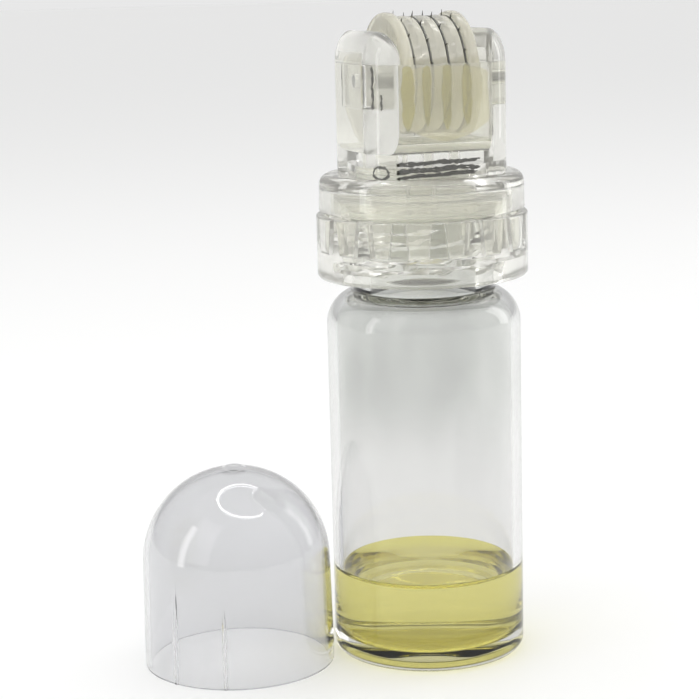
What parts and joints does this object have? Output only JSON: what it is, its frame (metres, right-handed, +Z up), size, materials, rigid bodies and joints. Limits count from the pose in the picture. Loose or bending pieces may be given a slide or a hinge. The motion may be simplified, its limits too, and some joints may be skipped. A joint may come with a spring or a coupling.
{
  "type": "derma roller",
  "caption": "Glass serum vial with a clear screw-on roller head, a drum of needle discs that turns on a steel axle, and a loose clear domed cap.",
  "frame": {"origin": "centre of the vial's flat base", "axes": "+Z up along the vial, +X along the drum's axle, -Y towards the viewer, cap stands off to -X"},
  "size_m": [0.045, 0.0263, 0.0733],
  "materials": {
    "vial_glass": "clear polished borosilicate glass",
    "serum": "pale yellow clear liquid",
    "clear_plastic": "clear polished moulded plastic",
    "drum_plastic": "clear moulded plastic tinted by serum",
    "silicone": "translucent silicone",
    "needle_steel": "fine steel, dark at the points"
  },
  "bodies": {
    "vial": {"glass_vial": "vial_glass", "serum_fill": "serum"},
    "head": {"head_body": "clear_plastic", "arm_cap_left": "clear_plastic", "arm_cap_right": "clear_plastic", "axle_bush_left": "drum_plastic", "axle_bush_right": "drum_plastic", "axle": "needle_steel", "base_plug": "clear_plastic", "drip_insert": "silicone", "mouth_gasket": "silicone", "spigot_seal": "silicone"},
    "collar": {"screw_collar": "clear_plastic"},
    "drum": {"drum_core": "drum_plastic", "end_disc_left": "drum_plastic", "end_disc_right": "drum_plastic", "spacer_disc_1": "drum_plastic", "spacer_disc_2": "drum_plastic", "spacer_disc_3": "drum_plastic", "needle_disc_1": "needle_steel", "needle_disc_2": "needle_steel", "needle_disc_3": "needle_steel", "needle_disc_4": "needle_steel"},
    "cap": {"dome_cap": "clear_plastic"}
  },
  "joints": [
    {"name": "head_rise", "type": "slide", "parent": "vial", "child": "head", "axis": [0, 0, 1], "range_m": [0, 0.0054]},
    {"name": "collar_turn", "type": "hinge", "parent": "head", "child": "collar", "pos_m": [0, 0, 0.0473], "axis": [0, 0, 1], "range_deg": [0, 600]},
    {"name": "drum_roll", "type": "hinge", "parent": "head", "child": "drum", "pos_m": [0, 0, 0.0657], "axis": [1, 0, 0], "continuous": true},
    {"name": "cap_lift", "type": "slide", "parent": "vial", "child": "cap", "axis": [0, 0, 1], "range_m": [0, 0.025]}
  ],
  "couplings": [
    {"joint": "head_rise", "follows": "collar_turn", "m_per_rad": 0.00050532}
  ]
}
